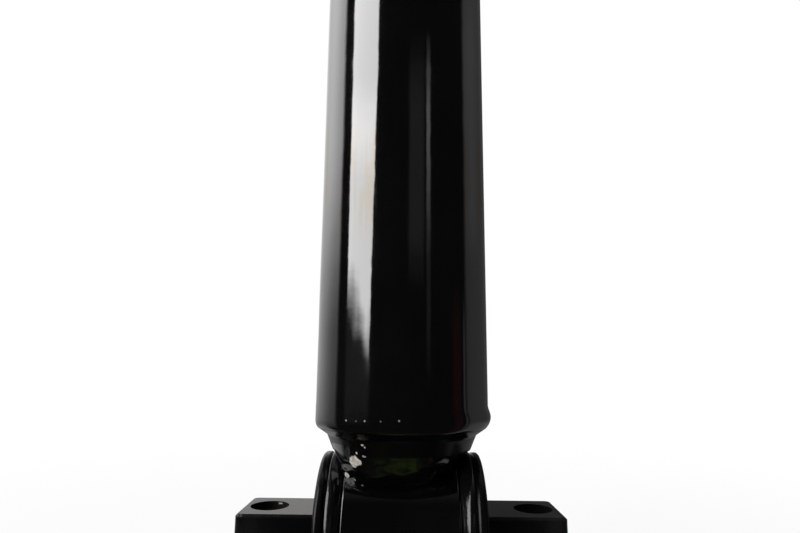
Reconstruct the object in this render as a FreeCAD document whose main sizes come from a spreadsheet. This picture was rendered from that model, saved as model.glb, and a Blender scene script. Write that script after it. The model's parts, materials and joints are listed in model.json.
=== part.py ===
import FreeCAD
import Part
import Sketcher
import math
import os
import re

# Telescopic shock absorber, twin tube, with a bar pin through the lower eye and a threaded stem on top.
# Millimetres. +Z runs up the tube, X along the bar pin. The origin is the centre of the bar pin's lower
# face, which is the face that is bolted to the suspension arm. The rod stands fully pulled out.

SIZES = [
    # Bar pin, bush and eye
    ("bar_width", 20.2, "flat end of the bar pin, across"),
    ("bar_thickness", 12.0, "flat end of the bar pin, through the bolt hole"),
    ("bolt_spacing", 76.0, "between the two bolt holes"),
    ("bolt_hole_dia", 11.0, "bolt hole"),
    ("bar_end_reach", 7.5, "middle of a bolt hole to the end of the bar pin"),
    ("bar_corner_round", 2.2, "upright corners of the flat ends"),
    ("bar_edge_bevel", 0.7, "edges of the flat ends"),
    ("shank_dia", 17.0, "round middle of the bar pin"),
    ("washer_thickness", 3.0, "bush washer"),
    ("washer_overhang", 2.0, "rim of a bush washer outside the eye ring"),
    ("washer_rim_round", 1.2, "rim of a bush washer"),
    ("eye_length", 31.8, "eye ring, along the bar pin"),
    ("eye_outer_dia", 38.4, "eye ring, outside"),
    ("eye_wall", 3.2, "eye ring"),
    ("eye_edge_round", 0.8, "outer edges of the eye ring"),
    ("bush_clearance", 0.05, "round the bar pin in the rubber"),
    ("bush_collar_length", 3.8, "rubber collar between the eye ring and a bush washer"),
    ("bush_collar_step", 1.8, "rubber collar inside the eye ring's outside"),
    ("bush_flange_thickness", 1.0, "straight rim of the rubber collar beside a bush washer"),
    ("bush_collar_hollow", 2.0, "hollow round between the collar and its rim"),
    ("bush_flange_round", 0.4, "rim of the rubber collar"),
    # Base cap, weld and seam
    ("neck_inset", 5.2, "neck of the base cap inside the tube's outside"),
    ("neck_lift", 3.5, "neck's lower end above the eye ring"),
    ("neck_length", 4.1, "neck of the base cap"),
    ("neck_flare", 1.7, "how much wider the neck's radius is at its top"),
    ("neck_hollow_round", 1.2, "between the neck and the shoulder"),
    ("shoulder_rise", 2.0, "shoulder's rim above the neck"),
    ("shoulder_inset", 0.6, "shoulder's rim inside the tube's outside"),
    ("saddle_dia", 26.0, "stub under the base cap that straddles the eye"),
    ("weld_end_inset", 0.9, "end of the weld's foot inside the end of the eye ring"),
    ("weld_side_inset", 5.4, "side of the weld's foot inside the eye ring's outside"),
    ("weld_bite", 0.55, "side of the weld's foot below the eye ring's surface"),
    ("weld_foot_round", 5.0, "corners of the weld's foot"),
    ("weld_top_flat", 0.3, "straight stretches between the round corners at the weld's top"),
    ("cap_floor_drop", 1.4, "floor inside the base cap below the shoulder's rim"),
    ("cap_wall", 2.4, "wall of the base cap inside the tube"),
    ("cap_skirt", 11.2, "base cap's skirt inside the tube, above the shoulder's rim"),
    ("seam_height", 2.5, "seam weld below the tube's edge"),
    ("seam_bulge", 0.3, "how far the seam weld stands out of the tube"),
    ("seam_crown", 1.6, "height of the seam weld's widest part above its lower edge"),
    ("seam_round", 1.2, "crown of the seam weld"),
    # Tubes
    ("tube_dia", 50.8, "reserve tube, outside"),
    ("tube_wall", 1.6, "reserve tube"),
    ("lip_round", 3.0, "outer round of the tube's rolled lip"),
    ("lip_reach", 5.6, "how far the rolled lip reaches inwards"),
    ("reserve_gap", 4.8, "between the two tubes"),
    ("pressure_wall", 1.5, "pressure tube"),
    ("stroke", 120.0, "travel of the rod"),
    ("bottom_gap", 4.0, "between the piston nut and the foot valve with the rod pushed in"),
    ("top_gap", 9.0, "between the dust cover's cap and the tube with the rod pushed in"),
    # Foot valve
    ("foot_body_height", 14.0, "foot valve body"),
    ("foot_spigot_height", 5.0, "part of the foot valve body inside the pressure tube"),
    ("foot_skirt_wall", 6.5, "wall round the hollow under the foot valve body"),
    ("foot_recess_height", 6.0, "hollow under the foot valve body"),
    ("foot_slot_width", 5.0, "oil slots in the foot valve's skirt"),
    ("foot_port_dia", 3.2, "outer ports of the foot valve"),
    ("foot_port_edge", 0.1, "between the outer ports and the wall of that hollow"),
    ("foot_bleed_dia", 1.8, "inner ports of the foot valve"),
    ("foot_bleed_circle", 11.0, "circle of the inner ports"),
    ("foot_pin_dia", 6.0, "foot valve pin"),
    ("foot_pin_head_dia", 10.0, "heads of the foot valve pin"),
    ("foot_pin_head", 1.4, "height of a head of the foot valve pin"),
    ("foot_spring_height", 3.4, "foot check spring"),
    ("foot_disc_gap", 3.5, "round the foot check disc in the bore"),
    ("disc_thickness", 0.8, "valve discs"),
    ("spring_leaf", 0.5, "thickness of the star springs"),
    # Rod, piston and its valves
    ("rod_dia", 12.5, "piston rod"),
    ("rod_bevel", 0.8, "ends of the rod's full diameter"),
    ("spindle_dia", 10.0, "lower end of the rod, through the piston"),
    ("piston_height", 12.0, "piston body"),
    ("piston_clearance", 0.35, "round the piston body in the bore"),
    ("band_height", 7.0, "piston band"),
    ("band_depth", 1.2, "groove of the piston band"),
    ("band_clearance", 0.04, "round the piston band in the bore"),
    ("port_dia", 3.0, "outer ports of the piston"),
    ("port_inset", 4.5, "middle of the outer ports inside the bore"),
    ("bleed_dia", 2.2, "inner ports of the piston"),
    ("bleed_circle", 17.0, "circle of the inner ports"),
    ("check_disc_gap", 2.5, "round the piston check disc in the bore"),
    ("check_spring_height", 2.8, "piston check spring"),
    ("stop_washer_height", 1.5, "backing washer on the rod's shoulder"),
    ("stop_washer_dia", 20.0, "backing washer on the rod's shoulder"),
    ("valve_disc_dia", 22.0, "rebound valve disc"),
    ("valve_seat_height", 2.6, "spring seat under the rebound valve disc"),
    ("valve_spring_height", 14.0, "rebound valve spring, fitted"),
    ("valve_spring_dia", 17.5, "rebound valve spring, middle of the wire"),
    ("valve_wire_dia", 2.0, "wire of the rebound valve spring"),
    ("valve_spring_turns", 4.0, "turns of the rebound valve spring"),
    ("piston_nut_height", 8.0, "hexagon and flange of the piston nut"),
    ("sleeve_dia", 14.0, "sleeve of the piston nut inside the spring"),
    ("sleeve_clearance", 0.08, "round the sleeve and the piston's hub"),
    ("hub_dia", 12.8, "hub on top of the piston, inside the check disc"),
    ("piston_nut_flats", 17.0, "piston nut, across its flats"),
    ("piston_nut_flange", 24.0, "flange of the piston nut, which carries the spring"),
    ("piston_nut_flange_height", 2.0, "flange of the piston nut"),
    ("spindle_spare", 2.0, "rod end past the piston nut"),
    ("stop_distance", 22.0, "rebound stop above the piston"),
    ("stop_height", 4.0, "rebound stop"),
    ("stop_dia", 20.0, "rebound stop"),
    ("stop_groove", 0.8, "groove of the rebound stop in the rod"),
    ("bumper_height", 8.0, "rebound bumper"),
    ("bumper_side_gap", 3.5, "round the rebound bumper in the bore"),
    ("bumper_gap", 0.3, "between the rebound bumper and the rod guide with the rod pulled out"),
    # Rod guide and seal
    ("guide_height", 24.0, "rod guide, top to the underside of its spigot"),
    ("guide_spigot", 6.0, "spigot of the rod guide in the pressure tube"),
    ("guide_bush_wall", 1.0, "bush in the rod guide"),
    ("guide_floor", 2.0, "rod guide between its bush and the seal's pocket"),
    ("guide_clearance", 0.03, "round the rod in its bush"),
    ("throat_clearance", 0.3, "round the rod in the rod guide and its backing washer"),
    ("seal_pocket_dia", 28.0, "pocket of the rod seal"),
    ("seal_height", 8.0, "rod seal"),
    ("seal_wall", 2.0, "outer wall of the rod seal"),
    ("seal_web", 3.0, "top of the rod seal"),
    ("seal_lip", 1.4, "thickness of the seal's lip"),
    ("seal_lip_clearance", 0.04, "round the rod at the seal's lips"),
    ("garter_dia", 1.6, "wire ring round the seal's lip"),
    ("ring_dia", 2.6, "section of the o-ring"),
    ("backing_height", 1.6, "seal backing washer"),
    ("guide_lead", 1.0, "lower end of the bush above the rod guide's spigot end"),
    ("drain_dia", 2.4, "drain holes of the rod guide"),
    ("drain_offset", 0.7, "middle of a drain hole outside the pressure tube"),
    # Dust cover and stem
    ("cover_gap", 3.6, "between the tube and the dust cover"),
    ("cover_wall", 1.0, "dust cover"),
    ("cover_overlap", 46.0, "length of tube that the dust cover hides"),
    ("cover_roll", 1.6, "wire edge rolled at the lower end of the dust cover"),
    ("cover_cap_thickness", 2.0, "cap of the dust cover"),
    ("cover_cap_drop", 5.0, "height of the cap's rim"),
    ("cover_cap_round", 3.0, "outer round of the cap"),
    ("stem_dia", 10.0, "threaded stem"),
    ("cup_dia", 38.0, "stem washer"),
    ("cup_thickness", 2.0, "stem washer"),
    ("cup_dish", 2.0, "depth of the stem washer's rim"),
    ("grommet_dia", 32.0, "grommet"),
    ("grommet_clearance", 0.3, "round the stem in a grommet"),
    ("grommet_height", 14.0, "grommet"),
    ("grommet_round", 3.0, "outer edges of a grommet"),
    ("grommet_hub_dia", 19.0, "hub of the lower grommet, through the chassis hole"),
    ("chassis_plate", 4.0, "thickness of the plate between the grommets"),
    ("nut_flats", 17.0, "stem nut, across its flats"),
    ("nut_height", 8.0, "stem nut"),
    ("nut_bevel", 1.0, "corner bevel of the nuts"),
    ("stem_spare", 18.0, "stem above its nut"),
    ("stem_tang_height", 6.0, "flats at the stem's end for holding it"),
    ("stem_tang_flats", 6.0, "stem's end, across those flats"),
    ("stem_bevel", 0.8, "end of the stem"),
]
PORTS = 8
BLEEDS = 6
SLOTS = 4
STAR_ARMS = 6
DRAINS = 3

document = FreeCAD.newDocument("ShockAbsorber")
sheet = document.addObject("Spreadsheet::Sheet", "Sizes")
sheet.Label = "Sizes"
for row, (alias, number, meaning) in enumerate(SIZES, start=1):
    sheet.set(f"A{row}", meaning)
    sheet.set(f"B{row}", str(number))
    sheet.setAlias(f"B{row}", alias)
document.recompute()


# Places worked out from the sizes. Heights up to the tube's bottom are above the middle of the eye, and
# those from the tube's bottom on are above the bar pin's lower face.
PLACES = {
    "eye_height": "bar_thickness / 2",
    "bar_end": "bolt_spacing / 2 + bar_end_reach",
    "eye_radius": "eye_outer_dia / 2",
    "washer_inner_face": "eye_length / 2 + bush_collar_length",
    "washer_outer_face": "washer_inner_face + washer_thickness",
    "washer_radius": "eye_radius + washer_overhang",
    "bush_collar_radius": "eye_radius - bush_collar_step",
    "tube_radius": "tube_dia / 2",
    "tube_bore_radius": "tube_dia / 2 - tube_wall",
    "neck_radius": "tube_radius - neck_inset",
    "neck_bottom": "eye_radius + neck_lift",
    "neck_top": "neck_bottom + neck_length",
    "shoulder_height": "neck_top + shoulder_rise",
    "cap_floor_height": "shoulder_height - cap_floor_drop",
    "cap_top": "shoulder_height + cap_skirt",
    "weld_foot_length": "eye_length - 2 * weld_end_inset",
    "weld_foot_width": "eye_outer_dia - 2 * weld_side_inset",
    "weld_foot_height": "sqrt(eye_radius ^ 2 - (weld_foot_width / 2) ^ 2) - weld_bite",
    "tube_bottom": "eye_height + shoulder_height + seam_height",
    "cap_floor": "eye_height + cap_floor_height",
    "pressure_radius": "tube_bore_radius - reserve_gap",
    "bore_radius": "pressure_radius - pressure_wall",
    "foot_recess_radius": "pressure_radius - foot_skirt_wall",
    "foot_port_circle": "2 * foot_recess_radius - foot_port_dia - 2 * foot_port_edge",
    "foot_disc_radius": "bore_radius - foot_disc_gap",
    "port_circle": "2 * (bore_radius - port_inset)",
    "check_disc_radius": "bore_radius - check_disc_gap",
    "bumper_radius": "bore_radius - bumper_side_gap",
    "drain_circle": "2 * (pressure_radius + drain_offset)",
    "cover_radius": "tube_radius + cover_gap + cover_wall",
    "foot_seat": "cap_floor + foot_body_height - foot_spigot_height",
    "foot_top": "cap_floor + foot_body_height",
    "foot_recess_top": "cap_floor + foot_recess_height",
    "foot_pin_bottom": "foot_recess_top - disc_thickness - foot_pin_head",
    "foot_spring_top": "foot_top + disc_thickness + foot_spring_height",
    "foot_pin_top": "foot_spring_top + foot_pin_head",
    "spindle_bottom": "foot_pin_top + bottom_gap + stroke",
    "piston_nut_bottom": "spindle_bottom + spindle_spare",
    "piston_flange_top": "piston_nut_bottom + piston_nut_height",
    "valve_seat_bottom": "piston_flange_top + valve_spring_height",
    "valve_disc_bottom": "valve_seat_bottom + valve_seat_height",
    "piston_bottom": "valve_disc_bottom + disc_thickness",
    "piston_top": "piston_bottom + piston_height",
    "check_spring_bottom": "piston_top + disc_thickness",
    "hub_top": "check_spring_bottom + check_spring_height",
    "rod_bottom": "hub_top + stop_washer_height",
    "stop_bottom": "rod_bottom + stop_distance",
    "bumper_bottom": "stop_bottom + stop_height",
    "guide_bottom": "bumper_bottom + bumper_height + bumper_gap",
    "guide_seat": "guide_bottom + guide_spigot",
    "guide_top": "guide_bottom + guide_height",
    "seal_bottom": "guide_top - seal_height",
    "tube_top": "guide_top + backing_height + tube_wall",
    "rod_top": "tube_top + top_gap + stroke",
    "cover_bottom": "tube_top - cover_overlap",
    "lower_cup_bottom": "rod_top + cover_cap_thickness",
    "lower_grommet_bottom": "lower_cup_bottom + cup_thickness",
    "plate_bottom": "lower_grommet_bottom + grommet_height",
    "upper_grommet_bottom": "plate_bottom + chassis_plate",
    "upper_cup_bottom": "upper_grommet_bottom + grommet_height",
    "nut_bottom": "upper_cup_bottom + cup_thickness",
    "nut_top": "nut_bottom + nut_height",
    "stem_top": "nut_top + stem_spare",
    "rod_radius": "rod_dia / 2",
    "stem_radius": "stem_dia / 2",
    "spindle_radius": "spindle_dia / 2",
    "piston_radius": "bore_radius - piston_clearance",
    "band_floor": "piston_radius - band_depth",
    "sleeve_bore": "sleeve_dia / 2 + sleeve_clearance",
    "hub_bore": "hub_dia / 2 + sleeve_clearance",
    "guide_bush_height": "guide_height - seal_height - guide_lead - guide_floor",
    "guide_bush_bore": "rod_radius + guide_clearance",
    "guide_bush_radius": "guide_bush_bore + guide_bush_wall",
    "lip_bore": "rod_radius + seal_lip_clearance",
    "lip_radius": "lip_bore + seal_lip",
}
ALIASES = {alias for alias, number, meaning in SIZES}
WORD = re.compile(r"[a-z]+(?:_[a-z]+)*")


def bound(text):
    """Write sizes and places as an expression on the sheet."""
    def full_name(match):
        word = match.group()
        if word in PLACES:
            return "(" + bound(PLACES[word]) + ")"
        if word in ALIASES:
            return "Sizes." + word
        return word
    return WORD.sub(full_name, text)


def value(text):
    """The number that an expression has now."""
    return float(sheet.evalExpression(bound(text)))


def origin_feature(body, role):
    return [feature for feature in body.Origin.OriginFeatures if feature.Role == role][0]


def new_body(label, height="0"):
    """A body whose own zero stands at a height on the tube's axis."""
    body = document.addObject("PartDesign::Body", label)
    body.Label = label
    body.setExpression("Placement.Base.z", bound(height))
    return body


def new_sketch(body, name, role="XZ_Plane", offset="0"):
    sketch = body.newObject("Sketcher::SketchObject", name)
    sketch.AttachmentSupport = (origin_feature(body, role), [""])
    sketch.MapMode = "FlatFace"
    if offset != "0":
        sketch.setExpression("AttachmentOffset.Base.z", bound(offset))
    return sketch


def pin_point(sketch, geometry, point, across, up):
    """Hold a point of a sketch at the distances that two expressions give."""
    for kind, axis, text in (("DistanceX", -2, across), ("DistanceY", -1, up)):
        if text == "0":
            sketch.addConstraint(Sketcher.Constraint("PointOnObject", geometry, point, axis))
        else:
            number = sketch.addConstraint(
                Sketcher.Constraint(kind, -1, 1, geometry, point, value(text)))
            sketch.setExpression(f"Constraints[{number}]", bound(text))


def draw_outline(sketch, corners):
    """A closed outline of straight lines, each corner held by two expressions."""
    places = [FreeCAD.Vector(value(across), value(up), 0) for across, up in corners]
    first = sketch.GeometryCount
    for start, end in zip(places, places[1:] + places[:1]):
        sketch.addGeometry(Part.LineSegment(start, end), False)
    for index, (across, up) in enumerate(corners):
        following = (index + 1) % len(corners)
        sketch.addConstraint(Sketcher.Constraint("Coincident", first + index, 2, first + following, 1))
        pin_point(sketch, first + index, 1, across, up)


def draw_circle(sketch, across, up, radius):
    middle = FreeCAD.Vector(value(across), value(up), 0)
    circle = sketch.addGeometry(Part.Circle(middle, FreeCAD.Vector(0, 0, 1), value(radius)), False)
    pin_point(sketch, circle, 3, across, up)
    number = sketch.addConstraint(Sketcher.Constraint("Radius", circle, value(radius)))
    sketch.setExpression(f"Constraints[{number}]", bound(radius))


def turn(body, name, corners, axis="V_Axis", kind="PartDesign::Revolution"):
    """Turn an outline of (radius, height) corners about the body's axis, to add or to cut."""
    sketch = new_sketch(body, name + "_outline")
    draw_outline(sketch, corners)
    feature = body.newObject(kind, name)
    feature.Profile = sketch
    feature.ReferenceAxis = (sketch, [axis])
    feature.Angle = 360
    document.recompute()
    return feature


def turned(label, corners, height="0"):
    """A round piece on the tube's axis."""
    body = new_body(label, height)
    turn(body, label + "_turned", corners)
    return body


def turned_along_pin(label, corners):
    """A round piece on the bar pin's axis, from (place along the pin, radius) corners."""
    body = new_body(label, "eye_height")
    turn(body, label + "_turned", corners, "H_Axis")
    return body


def ring_corners(inner, outer, height, bottom="0"):
    return [(inner, bottom), (outer, bottom), (outer, height), (inner, height)]


def cut_groove(body, name, corners, axis="V_Axis"):
    before = body.Shape.Volume
    turn(body, name, corners, axis, "PartDesign::Groove")
    assert body.Shape.Volume < before, name + " cuts nothing"


def pad(body, name, sketch, length, midplane=False):
    feature = body.newObject("PartDesign::Pad", name)
    feature.Profile = sketch
    feature.Type = "Length"
    feature.setExpression("Length", bound(length))
    if midplane:
        feature.SideType = "Symmetric"
    document.recompute()
    return feature


def pocket_through(body, name, sketch):
    """Cut a sketch right through the body, to both sides of the sketch."""
    before = body.Shape.Volume
    feature = body.newObject("PartDesign::Pocket", name)
    feature.Profile = sketch
    feature.Type = "ThroughAll"
    feature.SideType = "Symmetric"
    document.recompute()
    assert body.Shape.Volume < before, name + " cuts nothing"
    return feature


def repeat_around(body, name, feature, count, angle=360):
    """Repeat a cut about the body's upright axis."""
    before = body.Shape.Volume
    pattern = body.newObject("PartDesign::PolarPattern", name)
    pattern.Originals = [feature]
    pattern.Axis = (origin_feature(body, "Z_Axis"), [""])
    pattern.Angle = angle
    pattern.Occurrences = count
    body.Tip = pattern
    document.recompute()
    assert body.Shape.Volume < before, name + " cuts nothing"


def drill_around(body, name, circle, diameter, count):
    """A ring of upright through holes."""
    sketch = new_sketch(body, name + "_place", "XY_Plane")
    draw_circle(sketch, circle + " / 2", "0", diameter + " / 2")
    hole = pocket_through(body, name, sketch)
    repeat_around(body, name + "_ring", hole, count)


def edges_where(body, test):
    """Names of the body's edges that pass a test."""
    found = [f"Edge{number}" for number, edge in enumerate(body.Shape.Edges, start=1) if test(edge)]
    assert found, "no such edge on " + body.Label
    return found


def is_circle(edge, radius, along, place):
    """Whether an edge is the full circle of a radius at a place along X or Z of its body."""
    if edge.Curve.TypeId != "Part::GeomCircle":
        return False
    middle = edge.Curve.Center
    return abs(edge.Curve.Radius - radius) < 0.001 and abs(getattr(middle, along) - place) < 0.001


def dress(body, name, kind, setting, size, edges):
    base = body.Tip
    feature = body.newObject(kind, name)
    feature.Base = (base, edges)
    feature.setExpression(setting, bound(size))
    document.recompute()


def round_rims(body, name, size, rims, along="z"):
    """Round the circular edges at (radius, place) pairs."""
    spots = [(value(radius), value(place)) for radius, place in rims]
    base = 0 if along == "x" else body.Placement.Base.z
    edges = edges_where(body, lambda edge: any(
        is_circle(edge, radius, along, place + base) for radius, place in spots))
    dress(body, name, "PartDesign::Fillet", "Radius", size, edges)


def make_bar_pin():
    """A round shank forged flat at both ends, with a bolt hole through each flat."""
    body = new_body("bar_pin", "eye_height")
    turn(body, "shank", [
        ("-washer_outer_face", "0"), ("-washer_outer_face", "shank_dia / 2"),
        ("washer_outer_face", "shank_dia / 2"), ("washer_outer_face", "0")], "H_Axis")
    sketch = new_sketch(body, "flats_outline", "XY_Plane")
    for inner, outer in (("-washer_outer_face", "-bar_end"), ("washer_outer_face", "bar_end")):
        draw_outline(sketch, [
            (inner, "-bar_width / 2"), (outer, "-bar_width / 2"),
            (outer, "bar_width / 2"), (inner, "bar_width / 2")])
    pad(body, "flats", sketch, "bar_thickness", midplane=True)
    end = value("bar_end")
    side = value("bar_width / 2")
    corners = edges_where(body, lambda edge: abs(abs(edge.CenterOfMass.x) - end) < 0.001
                          and abs(abs(edge.CenterOfMass.y) - side) < 0.001)
    dress(body, "corner_rounds", "PartDesign::Fillet", "Radius", "bar_corner_round", corners)
    top = value("bar_thickness / 2")
    level = body.Placement.Base.z
    shoulder = value("washer_outer_face")
    rims = edges_where(body, lambda edge: abs(edge.BoundBox.ZLength) < 0.001
                       and abs(abs(edge.CenterOfMass.z - level) - top) < 0.001
                       and abs(edge.CenterOfMass.x) > shoulder + 0.001)
    dress(body, "edge_bevels", "PartDesign::Chamfer", "Size", "bar_edge_bevel", rims)
    sketch = new_sketch(body, "bolt_hole_places", "XY_Plane")
    for place in ("-bolt_spacing / 2", "bolt_spacing / 2"):
        draw_circle(sketch, place, "0", "bolt_hole_dia / 2")
    pocket_through(body, "bolt_holes", sketch)


def make_bush_washers():
    """A steel washer on each side, held against the rubber by the shoulder of the flat end."""
    for side, sign in (("left", "-"), ("right", "")):
        outer = sign + "washer_outer_face"
        inner = sign + "washer_inner_face"
        body = turned_along_pin("bush_washer_" + side, [
            (outer, "shank_dia / 2"), (outer, "washer_radius"),
            (inner, "washer_radius"), (inner, "shank_dia / 2")])
        round_rims(body, "rim_rounds", "washer_rim_round",
                   [("washer_radius", outer), ("washer_radius", inner)], "x")


def make_bush_rubber():
    """Rubber that fills the eye ring and swells into a shoulder at each end."""
    bore = "shank_dia / 2 + bush_clearance"
    inside = "eye_radius - eye_wall"
    collar = "bush_collar_radius"
    flange = "eye_radius"
    end = "washer_inner_face"
    start = "(eye_length / 2)"
    rim = f"({end} - bush_flange_thickness)"
    hollow = f"(({start} + {rim}) / 2)"
    body = turned_along_pin("bush_rubber", [
        ("-" + end, bore), ("-" + end, flange), ("-" + rim, flange), ("-" + hollow, collar),
        ("-" + start, collar), ("-" + start, inside), (start, inside), (start, collar),
        (hollow, collar), (rim, flange), (end, flange), (end, bore)])
    round_rims(body, "collar_hollows", "bush_collar_hollow",
               [(collar, "-" + hollow), (collar, hollow)], "x")
    round_rims(body, "rim_rounds", "bush_flange_round",
               [(flange, sign + place) for sign in ("-", "") for place in (rim, end)], "x")


def make_eye_ring():
    body = turned_along_pin("eye_ring", [
        ("-eye_length / 2", "eye_radius - eye_wall"), ("-eye_length / 2", "eye_radius"),
        ("eye_length / 2", "eye_radius"), ("eye_length / 2", "eye_radius - eye_wall")])
    round_rims(body, "edge_rounds", "eye_edge_round",
               [("eye_radius", "-eye_length / 2"), ("eye_radius", "eye_length / 2")], "x")


def cut_eye_saddle(body):
    """Hollow a body by the eye ring's outside, so that it straddles the ring."""
    cut_groove(body, "eye_saddle", [
        ("-tube_dia", "0"), ("-tube_dia", "eye_radius"),
        ("tube_dia", "eye_radius"), ("tube_dia", "0")], "H_Axis")


def make_base_cap():
    """A pressed cap: spigot inside the tube, shoulder, neck and a stub that straddles the eye."""
    body = turned("base_cap", [
        ("0", "0"),
        ("saddle_dia / 2", "0"),
        ("saddle_dia / 2", "neck_bottom"),
        ("neck_radius", "neck_bottom"),
        ("neck_radius + neck_flare", "neck_top"),
        ("tube_radius - shoulder_inset", "shoulder_height"),
        ("tube_bore_radius", "shoulder_height"),
        ("tube_bore_radius", "cap_top"),
        ("tube_bore_radius - cap_wall", "cap_top"),
        ("tube_bore_radius - cap_wall", "cap_floor_height + reserve_gap - cap_wall"),
        ("pressure_radius", "cap_floor_height"),
        ("0", "cap_floor_height")], "eye_height")
    cut_eye_saddle(body)
    round_rims(body, "neck_hollow", "neck_hollow_round", [("neck_radius + neck_flare", "neck_top")])


def draw_rounded_box(sketch, half_length, half_width, corner):
    """A rectangle round the middle with rounded corners: four sides joined by four quarter circles."""
    length = f"({half_length} - {corner})"
    width = f"({half_width} - {corner})"
    sides = [
        (("-" + length, "-" + half_width), (length, "-" + half_width)),
        ((half_length, "-" + width), (half_length, width)),
        ((length, half_width), ("-" + length, half_width)),
        (("-" + half_length, width), ("-" + half_length, "-" + width))]
    radius = value(corner)
    middles = [(length, "-" + width), (length, width), ("-" + length, width), ("-" + length, "-" + width)]
    for index, (start, end) in enumerate(sides):
        points = [FreeCAD.Vector(value(across), value(up), 0) for across, up in (start, end)]
        line = sketch.addGeometry(Part.LineSegment(*points), False)
        pin_point(sketch, line, 1, *start)
        pin_point(sketch, line, 2, *end)
        middle = FreeCAD.Vector(value(middles[index][0]), value(middles[index][1]), 0)
        circle = Part.Circle(middle, FreeCAD.Vector(0, 0, 1), radius)
        begin = (index - 1) * math.pi / 2
        sketch.addGeometry(Part.ArcOfCircle(circle, begin, begin + math.pi / 2), False)
    for index in range(len(sides)):
        line = 2 * index
        arc = line + 1
        sketch.addConstraint(Sketcher.Constraint("Coincident", line, 2, arc, 1))
        sketch.addConstraint(Sketcher.Constraint("Coincident", arc, 2, (line + 2) % 8, 1))
        number = sketch.addConstraint(Sketcher.Constraint("Radius", arc, radius))
        sketch.setExpression(f"Constraints[{number}]", bound(corner))


def make_eye_weld():
    """The weld round the stub, from the neck down to the flanks of the eye ring."""
    body = new_body("eye_weld", "eye_height")
    foot = new_sketch(body, "foot_outline", "XY_Plane", "weld_foot_height")
    draw_rounded_box(foot, "(weld_foot_length / 2)", "(weld_foot_width / 2)", "weld_foot_round")
    top = new_sketch(body, "top_outline", "XY_Plane", "neck_bottom")
    draw_rounded_box(top, "neck_radius", "neck_radius", "(neck_radius - weld_top_flat)")
    loft = body.newObject("PartDesign::AdditiveLoft", "skirt")
    loft.Profile = foot
    loft.Sections = [top]
    loft.Ruled = True
    document.recompute()
    cut_groove(body, "stub_hole", [
        ("0", "-tube_dia"), ("saddle_dia / 2", "-tube_dia"),
        ("saddle_dia / 2", "tube_dia"), ("0", "tube_dia")])
    cut_eye_saddle(body)


def make_seam_weld():
    """The bead that closes the tube's edge onto the base cap."""
    crown = ("tube_radius + seam_bulge", "shoulder_height + seam_crown")
    body = turned("base_seam_weld", [
        ("tube_bore_radius", "shoulder_height"),
        ("tube_radius - shoulder_inset", "shoulder_height"),
        crown,
        ("tube_radius", "shoulder_height + seam_height"),
        ("tube_bore_radius", "shoulder_height + seam_height")], "eye_height")
    round_rims(body, "bead_round", "seam_round", [crown])


def make_reserve_tube():
    """The outer tube, whose upper edge is rolled over the rod guide."""
    lip = "tube_radius - lip_reach"
    body = turned("reserve_tube", [
        ("tube_bore_radius", "0"),
        ("tube_radius", "0"),
        ("tube_radius", "tube_top - tube_bottom"),
        (lip, "tube_top - tube_bottom"),
        (lip, "tube_top - tube_bottom - tube_wall"),
        ("tube_bore_radius", "tube_top - tube_bottom - tube_wall")], "tube_bottom")
    round_rims(body, "lip_round", "lip_round", [("tube_radius", "tube_top - tube_bottom")])


def make_pressure_tube():
    turned("pressure_tube", ring_corners("bore_radius", "pressure_radius", "guide_seat - foot_seat"),
           "foot_seat")


def make_foot_valve():
    """The foot of the pressure tube: valve body, riveted pin, check disc, star spring and bleed disc."""
    body = turned("foot_valve_body", [
        ("foot_recess_radius", "0"),
        ("pressure_radius", "0"),
        ("pressure_radius", "foot_body_height - foot_spigot_height"),
        ("bore_radius", "foot_body_height - foot_spigot_height"),
        ("bore_radius", "foot_body_height"),
        ("foot_pin_dia / 2", "foot_body_height"),
        ("foot_pin_dia / 2", "foot_recess_height"),
        ("foot_recess_radius", "foot_recess_height")], "cap_floor")
    slot = new_sketch(body, "oil_slot_outline")
    draw_outline(slot, [
        ("-foot_slot_width / 2", "-foot_recess_height"), ("foot_slot_width / 2", "-foot_recess_height"),
        ("foot_slot_width / 2", "foot_recess_height * 2 / 3"),
        ("-foot_slot_width / 2", "foot_recess_height * 2 / 3")])
    cut = pocket_through(body, "oil_slots", slot)
    repeat_around(body, "oil_slots_across", cut, SLOTS // 2, 90)
    drill_around(body, "ports", "foot_port_circle", "foot_port_dia", PORTS)
    drill_around(body, "bleeds", "foot_bleed_circle", "foot_bleed_dia", BLEEDS)
    head = "foot_pin_head_dia / 2"
    shaft = "foot_pin_dia / 2"
    length = "(foot_pin_top - foot_pin_bottom)"
    turned("foot_valve_pin", [
        ("0", "0"), (head, "0"), (head, "foot_pin_head"), (shaft, "foot_pin_head"),
        (shaft, length + " - foot_pin_head"), (head, length + " - foot_pin_head"),
        (head, length), ("0", length)],
        "foot_pin_bottom")
    disc = turned("foot_check_disc", ring_corners(
        "foot_pin_dia / 2 + sleeve_clearance", "foot_disc_radius", "disc_thickness"), "foot_top")
    drill_around(disc, "bleed_holes", "foot_bleed_circle", "foot_port_dia / 2 + foot_bleed_dia / 2", BLEEDS)
    make_star_spring("foot_check_spring", "foot_pin_dia / 2", "foot_disc_radius - disc_thickness",
                     "foot_spring_height", "foot_top + disc_thickness")
    turned("foot_bleed_disc", ring_corners(
        "foot_pin_dia / 2", "foot_bleed_circle / 2 + foot_bleed_dia", "disc_thickness"),
        "foot_recess_top - disc_thickness")


def make_star_spring(label, inner, outer, height, bottom):
    """A dished leaf ring whose arms press a check disc onto its seat."""
    crown = f"({inner} + spring_leaf * 3)"
    body = turned(label, [
        (inner, f"{height} - spring_leaf"), (crown, f"{height} - spring_leaf"), (outer, "0"),
        (outer, "spring_leaf"), (crown, height), (inner, height)], bottom)
    drill_around(body, "windows", f"({crown} + {outer})", f"(({outer} - {crown}) * 0.6)", STAR_ARMS)


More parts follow.
